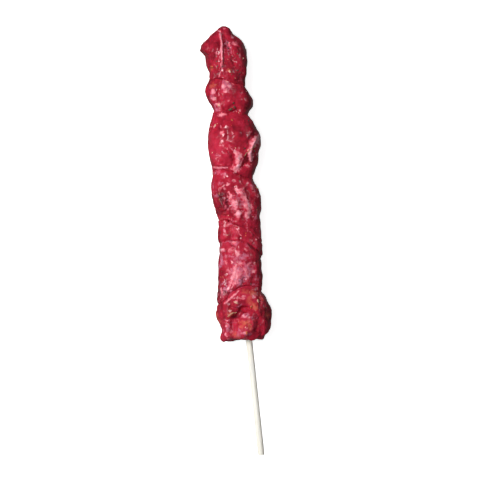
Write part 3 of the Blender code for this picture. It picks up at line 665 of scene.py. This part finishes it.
def beef_surface(points, facing_up, look):
    """What lies where on a piece: fat with painted glints, film with painted sheen, marinade, and tone with
    painted shade and light, and how many millimetres the skin rises.
    """

    def noise(size, seed, octaves):
        return clouds(points, size, look.seed + seed, octaves)

    def lay(kind, amount):
        kinds[KINDS[kind]] = np.maximum(kinds[KINDS[kind]], amount)

    plan = points[:, :2]
    ragged = plan + 0.9 * np.stack([noise(2.6, 31.0, 3), noise(2.6, 37.0, 3)], axis=1)
    torn = ragged + 0.42 * np.stack([noise(1.1, 32.0, 2), noise(1.1, 38.0, 2)], axis=1)
    upper = smooth_step(facing_up, -0.05, 0.35)
    kinds = np.zeros((3, len(points)))
    painted_shading_and_tone, raised = np.zeros((2, len(points)))
    broken = 0.8 + 0.5 * noise(1.3, 33.0, 2)
    uneven = 1.0 + 0.3 * noise(3.0, 35.0, 2)
    for kind, width, height, strength, route in STREAKS:
        smooth = kind == "sinew"
        distance, progress = distance_to_route(0.7 * plan + 0.3 * ragged if smooth else torn, route)
        tapered = width * (0.45 + 0.6 * np.sqrt(np.sin(math.pi * progress))) / uneven
        inside = upper * (1.0 - smooth_step(distance / tapered, 0.1, 0.9))
        raised += height * inside
        lay(kind, inside * strength * np.clip(broken + (0.25 if smooth else 0.0), 0.25, 1.0))
    # Soft spots: painted shade and painted light in the tone, and painted glints and sheen among the fat and
    # film
    for kind, spots in PATCHES.items():
        for across, along, wide, long, strength in spots:
            away = np.hypot((torn[:, 0] - across) / wide, (torn[:, 1] - along) / long)
            inside = upper * strength * (1.0 - smooth_step(away, 0.1, 1.4))
            if kind == "tone":
                painted_shading_and_tone += inside
            else:
                lay(kind, inside * np.clip(broken, 0.3, 1.0))
    for width, depth, route in CREASES:
        distance, _ = distance_to_route(ragged, route)
        raised -= CREASE_SHARE * depth * upper * np.exp(-(distance / width) ** 2)

    heading = math.radians(look.grain)
    lengthwise = points[:, 0] * math.cos(heading) + points[:, 1] * math.sin(heading)
    sideways = points[:, 1] * math.cos(heading) - points[:, 0] * math.sin(heading)

    def drawn_out(share):
        """The points squeezed along the grain, so that noise read at them is drawn out along it."""
        return np.stack([lengthwise / share, sideways, points[:, 2]], axis=1)

    fibre = cloud(drawn_out(6.0), 0.95, look.seed + 5.0) + 0.6 * cloud(drawn_out(6.0), 0.5, look.seed + 8.0)
    veins = np.abs(clouds(drawn_out(2.4), 5.2, look.seed + 13.0, 2))
    marbling = smooth_step(noise(11.0, 17.0, 2), 0.1, 0.6) * (1.0 - smooth_step(veins, 0.0, 0.15))
    marbling = marbling * (0.62 - 0.36 * upper) * np.clip(broken, 0.3, 1.0) * min(1.0, 0.3 + look.flecks)
    shaken = np.stack([cloud(points, 1.3, look.seed + seed) for seed in (81.0, 83.0, 85.0)], axis=1)
    drawn = drawn_out(1.5) + 0.35 * shaken
    flecks = np.maximum(fleck_and_glint_spots(drawn, look, 4.4, 100.0), 0.4 * fleck_and_glint_spots(drawn, look, 2.6, 120.0))
    # Marbling is real fat; the flecks are pale fat flecks and painted glints
    lay("fat", np.maximum(marbling, 0.62 * flecks))
    speckled = smooth_step(noise(1.7, 71.0, 2), -0.25, 0.35)
    # Painted sheen with the real film, stronger on faces that look up
    sheened_film = smooth_step(noise(8.0, 23.0, 3), 0.45 - look.film, 1.0 - 0.5 * look.film)
    lay("film", sheened_film * look.film * (0.3 + 0.7 * speckled) * (0.55 + 0.45 * upper))
    lay("orange", smooth_step(noise(9.0, 29.0, 3), 0.1, 0.7) * look.orange)
    raised += 0.12 * flecks

    # The tone: the piece's own brightness and random tone, with the painted shade and painted light of the
    # tone spots
    tone = 0.5 + look.tone + painted_shading_and_tone + 0.2 * noise(8.0, 41.0, 2) + 0.05 * fibre
    return kinds, tone, raised, fibre


def natural_folds(points, look):
    """Soft folds all round a piece, along lines where a broad noise crosses zero."""
    drawn = points * (1.0, 0.7, 1.0)
    crossing = np.abs(clouds(drawn, 10.5, look.seed + 47.0, 2))
    strength = smooth_step(clouds(points, 13.0, look.seed + 53.0, 1), -0.35, 0.35)
    return strength * np.exp(-(crossing / 0.13) ** 2)


def curdled(points, look):
    """Small wet bumps, about 2.5 mm and 1.3 mm wide."""
    return 0.8 * clouds(points, 2.8, look.seed + 61.0, 1) + 0.25 * cloud(points, 1.4, look.seed + 67.0)


def set_attribute(mesh, name, kind, values):
    layer = mesh.attributes.new(name, kind, "POINT")
    layer.data.foreach_set("value" if kind == "FLOAT" else "color", values.astype(np.float32).ravel())


def closeness(node_name, positions, reach):
    """1 where a piece meets its neighbours on the stick, falling to 0 at the given distance from them."""
    index = BEEF_NODES.index(node_name)
    nearest = np.full(len(positions), reach)
    for neighbour in BEEF_NODES[max(index - 1, 0):index] + BEEF_NODES[index + 1:index + 2]:
        builder = bmesh.new()
        builder.from_mesh(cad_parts[neighbour].data)
        tree = BVHTree.FromBMesh(builder)
        builder.free()
        found = [tree.find_nearest(position, reach)[3] for position in positions]
        nearest = np.minimum(nearest, [reach if distance is None else distance for distance in found])
    return 1.0 - smooth_step(nearest / reach, 0.1, 1.0)


def make_beef(node_name, settings, finish):
    """One piece of meat in full detail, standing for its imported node."""
    look = LOOKS[node_name]
    mesh = smooth_copy(node_name, settings.detail, settings.smoothing)
    positions = read_points(mesh)
    pressed = closeness(node_name, positions, settings.press_reach)
    points = wander(frame_points(positions), settings.wander / MM)
    write_points(mesh, points)
    normals = read_points(mesh, "normal")
    kinds, tone, raised, fibre = beef_surface(points, normals[:, 2], look)
    folds = natural_folds(points, look)
    reach = np.hypot(points[:, 0], points[:, 2] - AXIS_HEIGHT)
    outer = smooth_step(reach, STICK_RADIUS + 1.2, STICK_RADIUS + 4.5)
    fat, film, _ = kinds
    plain = 1.0 - 0.75 * np.clip(fat + film * 0.4, 0.0, 1.0)
    wetter = 1.0 + 0.9 * np.clip(film, 0.0, 1.0)
    height = (
        raised
        + settings.lumps / MM * (0.3 + 0.7 * look.curds) * clouds(points, 5.0, 7.0, 3)
        - settings.folds / MM * folds
        + settings.fibres / MM * fibre * plain
        + settings.curds / MM * look.curds * curdled(points, look) * (0.45 + 0.55 * plain) * wetter
    )
    filled = 0.75 + 0.5 * clouds(points, 6.0, 91.0, 2)
    outer = outer * (height + (settings.swell + settings.press * pressed * filled) / MM)
    points = points + normals * outer[:, None]
    points[:, 2] = np.maximum(points[:, 2], LOWEST_SKIN)
    write_points(mesh, points)
    # Painted shade: the tone is darker in the folds and low down on the piece
    tone = tone - 0.2 * folds - settings.painted_low_shade * (1.0 - smooth_step(points[:, 2], 3.0, AXIS_HEIGHT + 6.0))
    set_attribute(mesh, "surface", "FLOAT_COLOR", np.vstack([kinds, np.ones(len(points))]).T)
    set_attribute(mesh, "tone", "FLOAT", tone)
    mesh.materials.clear()
    mesh.materials.append(finish)
    mesh.shade_smooth()
    made = add_object("raw_" + node_name, mesh)
    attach(made, "root")
    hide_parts(node_name)


class KEBAB_OT_beef(bpy.types.Operator):
    """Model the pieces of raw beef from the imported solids"""

    bl_idname = "kebab.beef"
    bl_label = "Beef pieces"

    def execute(self, context):
        settings = context.scene.kebab_meat
        finish = beef_material(settings)
        for node_name in BEEF_NODES:
            make_beef(node_name, settings, finish)
        return {"FINISHED"}


def nearest_hit(hits, position):
    _, place, normal, _ = min((hit for hit in hits if hit[0]), key=lambda hit: (hit[1] - position).length)
    return place, normal


def on_meat(meat, position):
    """The nearest place on the finished meat and the way that it faces."""
    return nearest_hit([piece.closest_point_on_mesh(position) for piece in meat], position)


def above_meat(meat, across, along):
    """The meat's upper surface at one place seen from above, and the way that it faces."""
    start = spot(across, along, LOOK_DOWN)
    return nearest_hit([piece.ray_cast(start, Vector((0.0, 0.0, -1.0))) for piece in meat], start)


def scattered_places(meat, count, seed, steepest=1.0):
    """Random places on the meat, away from its seams and its underside, and the way that each faces.

    No place faces further up than the given number, which is 1 for straight up.
    """
    corners = []
    for piece in meat:
        piece.data.calc_loop_triangles()
        triangles = np.empty(len(piece.data.loop_triangles) * 3, dtype=np.int32)
        piece.data.loop_triangles.foreach_get("vertices", triangles)
        corners.append(read_points(piece.data)[triangles].reshape(-1, 3, 3))
    corners = np.concatenate(corners)
    cross = np.cross(corners[:, 1] - corners[:, 0], corners[:, 2] - corners[:, 0])
    area = np.linalg.norm(cross, axis=1)
    facing = cross / area[:, None]
    middle = corners.mean(axis=1)
    reach = np.hypot(middle[:, 0] / MM - AXIS_ACROSS, middle[:, 2] / MM - AXIS_HEIGHT)
    free = (np.abs(facing[:, 1]) < 0.7) & (middle[:, 2] > LOWEST_BIT * MM) & (reach > STICK_RADIUS + 3.0)
    weight = area * free * (facing[:, 2] <= steepest)
    draw = np.random.default_rng(seed)
    chosen = draw.choice(len(weight), size=count, p=weight / weight.sum())
    return [(Vector(middle[index]), Vector(facing[index])) for index in chosen]


def flake_shape(draw):
    """A small irregular leaf bit one long and one wide, slightly cupped, as corners and faces."""
    builder = bmesh.new()
    bmesh.ops.create_circle(builder, cap_ends=True, segments=FLAKE_SIDES, radius=0.5)
    raised = bmesh.ops.extrude_face_region(builder, geom=builder.faces[:])
    upper = [item for item in raised["geom"] if isinstance(item, bmesh.types.BMVert)]
    bmesh.ops.translate(builder, verts=upper, vec=Vector((0.0, 0.0, FLAKE_THICKNESS)))
    bmesh.ops.poke(builder, faces=[face for face in builder.faces if len(face.verts) == FLAKE_SIDES])
    bmesh.ops.recalc_face_normals(builder, faces=builder.faces)
    stretch_by = draw.uniform(0.75, 1.1, FLAKE_SIDES * 2 + 2)
    for vertex in builder.verts:
        turn = math.atan2(vertex.co.y, vertex.co.x)
        ragged = stretch_by[int(round(turn / math.tau * FLAKE_SIDES)) % FLAKE_SIDES]
        vertex.co.x *= ragged
        vertex.co.y *= ragged
        vertex.co.z += 0.22 * (vertex.co.x ** 2 - 0.3 * vertex.co.y) - 0.04
    return take_shape(builder)


def pepper_shape(draw):
    """A crushed bit of pepper about one across, as corners and faces."""
    builder = bmesh.new()
    bmesh.ops.create_icosphere(builder, subdivisions=1, radius=0.5)
    squash = draw.uniform(0.55, 1.0, 3)
    for vertex in builder.verts:
        dent = draw.uniform(0.7, 1.08)
        vertex.co = Vector(value * share * dent for value, share in zip(vertex.co, squash))
    return take_shape(builder)


def take_shape(builder):
    """Frees a bmesh and gives its corners and its faces, as lists of corner numbers."""
    builder.verts.index_update()
    corners = np.array([vertex.co[:] for vertex in builder.verts])
    faces = [[vertex.index for vertex in face.verts] for face in builder.faces]
    builder.free()
    return corners, faces


def join_bits(name, bits, kind):
    """One piece from many bits, each given as corners in metres, faces and its own shade from 0 to 1."""
    corners = []
    faces = []
    shades = []
    count = 0
    for bit_corners, bit_faces, shade in bits:
        corners.append(bit_corners)
        faces += [[index + count for index in face] for face in bit_faces]
        shades.append(np.full(len(bit_corners), shade))
        count += len(bit_corners)
    mesh = bpy.data.meshes.new(name)
    mesh.from_pydata(np.concatenate(corners).tolist(), [], faces)
    mesh.update()
    set_attribute(mesh, "shade", "FLOAT", np.concatenate(shades))
    mesh.materials.append(bit_material(name.replace("_", " "), *SEASONINGS[kind]))
    mesh.shade_smooth()
    made = add_object(name, mesh)
    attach(made, "root")


def laid_on(shape, place, facing, turn, size, sunk):
    """A bit's corners once it lies at a place on the meat, turned in its own plane and a little sunk."""
    corners, faces = shape
    turned = facing.to_track_quat("Z", "Y").to_matrix() @ Matrix.Rotation(turn, 3, "Z")
    return (corners * size) @ np.array(turned).T + np.array(place - facing * sunk), faces


def flake_bits(meat, kind, count, size, seed):
    """The flakes of one kind: those that show from above, then those scattered all round."""
    draw = np.random.default_rng(seed)
    bits = []
    for across, along, length, width, heading in FLAKES[kind]:
        place, facing = above_meat(meat, across, along)
        measures = (length * MM, width * MM, width * MM)
        laid = laid_on(flake_shape(draw), place, facing, math.radians(heading), measures, -FLAKE_RISE * MM)
        bits.append((*laid, draw.uniform(0.3, 0.9)))
    for place, facing in scattered_places(meat, count, seed + 1):
        length = size * draw.uniform(0.45, 1.1)
        width = length * draw.uniform(0.35, 0.8)
        measures = (length, width, width)
        shape = flake_shape(draw)
        laid = laid_on(shape, place, facing, draw.uniform(0.0, math.tau), measures, FLAKE_SINK * MM)
        bits.append((*laid, draw.uniform(0.0, 1.0)))
    return bits


def stem_bit(meat, route, width, draw):
    """A thin stem along a route on the meat, given as positions that are brought onto its surface."""
    corners = []
    for index, position in enumerate(route):
        place, facing = on_meat(meat, position)
        ahead = route[min(index + 1, len(route) - 1)] - route[max(index - 1, 0)]
        sideways = facing.cross(ahead).normalized()
        radius = width / 2.0 * (0.55 if index in (0, len(route) - 1) else draw.uniform(0.85, 1.1))
        centre = place + facing * width * 0.35
        for side in range(STEM_SIDES):
            turn = math.tau * side / STEM_SIDES
            corners.append(centre + sideways * (radius * math.cos(turn)) + facing * (radius * math.sin(turn)))
    faces = []
    for first in range(0, len(corners) - STEM_SIDES, STEM_SIDES):
        for side in range(STEM_SIDES):
            here = first + side
            following = first + (side + 1) % STEM_SIDES
            faces.append([here, following, following + STEM_SIDES, here + STEM_SIDES])
    faces.append(list(range(STEM_SIDES)))
    faces.append([len(corners) - 1 - side for side in range(STEM_SIDES)])
    return np.array(corners), faces, draw.uniform(0.2, 1.0)


def divided(stops):
    """Points along a route, evenly spaced between its stops."""
    points = []
    for first, second in zip(stops, stops[1:]):
        count = max(1, round((second - first).length / (STEM_STEP * MM)))
        points += [first.lerp(second, index / count) for index in range(count)]
    return points + [stops[-1]]


class KEBAB_OT_seasoning(bpy.types.Operator):
    """Lay the herb stems, flakes and crushed pepper on the finished meat"""

    bl_idname = "kebab.seasoning"
    bl_label = "Herbs and pepper"

    def execute(self, context):
        settings = context.scene.kebab_seasoning
        meat = [bpy.data.objects["raw_" + name] for name in BEEF_NODES]
        context.view_layer.update()
        draw = np.random.default_rng(5)
        stems = []
        for width, stops in STEMS:
            route = divided([above_meat(meat, *stop)[0] for stop in stops])
            stems.append(stem_bit(meat, route, width * MM, draw))
        for place, facing in scattered_places(meat, settings.stems, seed=6, steepest=0.3):
            heading = facing.orthogonal().normalized()
            heading.rotate(Matrix.Rotation(draw.uniform(0.0, math.tau), 3, facing))
            length = settings.stem_length * draw.uniform(0.5, 1.0)
            curve = facing.cross(heading) * draw.uniform(-0.15, 0.15)
            stops = [place, place + (heading + curve) * length / 2.0, place + heading * length]
            route = [on_meat(meat, point)[0] for point in divided(stops)]
            stems.append(stem_bit(meat, route, SCATTERED_STEM_WIDTH * MM, draw))
        join_bits("herb_stems", stems, "stem")
        for name, kind, count, size, seed in (
            ("herb_flakes", "herb", settings.herbs, settings.herb_size, 11),
            ("chilli_flakes", "chilli", settings.chilli, settings.chilli_size, 21),
            ("garlic_flakes", "pale", settings.pale, settings.pale_size, 31),
        ):
            join_bits(name, flake_bits(meat, kind, count, size, seed), kind)
        pepper = []
        for place, facing in scattered_places(meat, settings.pepper, seed=41):
            size = settings.pepper_size * draw.uniform(0.5, 1.2)
            bit = pepper_shape(draw)
            laid = laid_on(bit, place, facing, draw.uniform(0.0, math.tau), size, PEPPER_SINK * size)
            pepper.append((*laid, draw.uniform(0.0, 1.0)))
        join_bits("crushed_pepper", pepper, "pepper")
        return {"FINISHED"}


def shape_stick(mesh, settings):
    """Sharpens the point, rounds the handle's end and gives the stick its grain and uneven turning."""
    points = frame_points(read_points(mesh))
    along = points[:, 1]
    taper = np.clip((along - (STICK_LENGTH - STICK_POINT)) / STICK_POINT, 0.0, 1.0)
    blunt = np.clip(1.0 - along / STICK_BLUNT, 0.0, 1.0)
    drawn = np.stack([points[:, 0], along / 40.0, points[:, 2]], axis=1)
    grain = cloud(drawn, 0.55, 2.0) + 0.6 * clouds(points, 9.0, 5.0, 2)
    factor = (1.0 - 0.75 * taper) * (1.0 - 0.1 * blunt) + settings.wear / MM / STICK_RADIUS * (grain - 1.0)
    points[:, 0] *= factor
    points[:, 2] = AXIS_HEIGHT + (points[:, 2] - AXIS_HEIGHT) * factor
    write_points(mesh, points)


class KEBAB_OT_stick(bpy.types.Operator):
    """Model the wooden stick with its grain"""

    bl_idname = "kebab.stick"
    bl_label = "Wooden stick"

    def execute(self, context):
        settings = context.scene.kebab_stick
        builder = bmesh.new()
        radius = STICK_RADIUS * MM
        length = STICK_LENGTH * MM
        bmesh.ops.create_cone(
            builder, cap_ends=True, segments=settings.sides, radius1=radius, radius2=radius, depth=length
        )
        long_edges = [edge for edge in builder.edges if edge.calc_length() > length / 2.0]
        bmesh.ops.subdivide_edges(builder, edges=long_edges, cuts=settings.rings)
        turn = Matrix.Rotation(math.radians(-90.0), 4, "X")
        middle = spot(0.0, STICK_LENGTH / 2.0, AXIS_HEIGHT)
        bmesh.ops.transform(builder, matrix=Matrix.Translation(middle) @ turn, verts=builder.verts)
        mesh = take_mesh(builder, "kebab_stick")
        shape_stick(mesh, settings)
        mesh.materials.append(wood_material(settings))
        mesh.shade_smooth()
        mesh.set_sharp_from_angle(angle=math.radians(SHARP_ANGLE))
        made = add_object("kebab_stick", mesh)
        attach(made, "root")
        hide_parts(STICK_NODE)
        return {"FINISHED"}


def area_light(name, place, size, power, colour):
    """A round soft light that points at the skewer. A glint only adds shine, and the others add none."""
    light = bpy.data.lights.new(name, "AREA")
    light.shape = "DISK"
    light.size = size
    light.energy = power
    light.color = colour
    made = add_object(name, light)
    made.location = place
    made.rotation_mode = "QUATERNION"
    made.rotation_quaternion = (-Vector(place)).to_track_quat("-Z", "Y")
    made.visible_glossy = "glint" in name
    made.visible_diffuse = not made.visible_glossy


class KEBAB_OT_stage(bpy.types.Operator):
    """Set the pale floor, the soft studio light and the camera straight above"""

    bl_idname = "kebab.stage"
    bl_label = "Stage"

    def execute(self, context):
        settings = context.scene.kebab_stage
        builder = bmesh.new()
        bmesh.ops.create_grid(builder, x_segments=1, y_segments=1, size=FLOOR_REACH * MM)
        bmesh.ops.translate(builder, verts=builder.verts, vec=Vector((0.0, 0.0, -FLOOR_DEPTH * MM)))
        mesh = take_mesh(builder, "floor")
        white = (1.0, 1.0, 1.0, 1.0)
        pale = (0.93, 0.93, 0.93, 1.0)
        plain = {"base_color": pale, "roughness": 0.9, "emission_color": white, "emission_strength": 0.82}
        mesh.materials.append(finish_material(material("pale floor"), {}, **plain))
        floor = add_object("floor", mesh)
        floor.visible_glossy = False
        floor.visible_diffuse = False

        low, high = (Vector(corner) for corner in CAD_BOX)
        middle = (low + high) / 2.0
        camera = bpy.data.cameras.new("camera")
        camera.lens = settings.lens
        length = high.y - low.y
        camera.sensor_width = settings.lens * length / settings.fill / (settings.distance - AXIS_HEIGHT * MM)
        seat = add_object("camera", camera)
        seat.location = (middle.x, middle.y, settings.distance)
        seat.rotation_euler = (0.0, 0.0, settings.turn)
        context.scene.camera = seat

        for light in LIGHTS:
            area_light(*light)
        world = bpy.data.worlds.new("studio")
        world.use_nodes = True
        around = world.node_tree.nodes["Background"]
        around.inputs["Color"].default_value = white
        around.inputs["Strength"].default_value = 0.12
        context.scene.world = world
        context.scene.view_settings.view_transform = "Standard"
        return {"FINISHED"}


class KEBAB_PT_panel(bpy.types.Panel):
    """Lists the steps that dress the skewer"""

    bl_label = "Beef kebab skewer"
    bl_space_type = "VIEW_3D"
    bl_region_type = "UI"
    bl_category = "Kebab"

    def draw(self, context):
        for operator in OPERATORS:
            self.layout.operator(operator.bl_idname)


SETTINGS = {
    "kebab_meat": KebabMeat,
    "kebab_stick": KebabStick,
    "kebab_seasoning": KebabSeasoning,
    "kebab_stage": KebabStage,
}
OPERATORS = (KEBAB_OT_beef, KEBAB_OT_seasoning, KEBAB_OT_stick, KEBAB_OT_stage)


def register():
    for name, group in SETTINGS.items():
        bpy.utils.register_class(group)
        setattr(bpy.types.Scene, name, bpy.props.PointerProperty(type=group))
    for operator in OPERATORS:
        bpy.utils.register_class(operator)
    bpy.utils.register_class(KEBAB_PT_panel)


def unregister():
    bpy.utils.unregister_class(KEBAB_PT_panel)
    for operator in reversed(OPERATORS):
        bpy.utils.unregister_class(operator)
    for name, group in SETTINGS.items():
        delattr(bpy.types.Scene, name)
        bpy.utils.unregister_class(group)


def main():
    register()
    bpy.ops.kebab.beef()
    bpy.ops.kebab.seasoning()
    bpy.ops.kebab.stick()
    bpy.ops.kebab.stage()


if __name__ == "__main__":
    main()
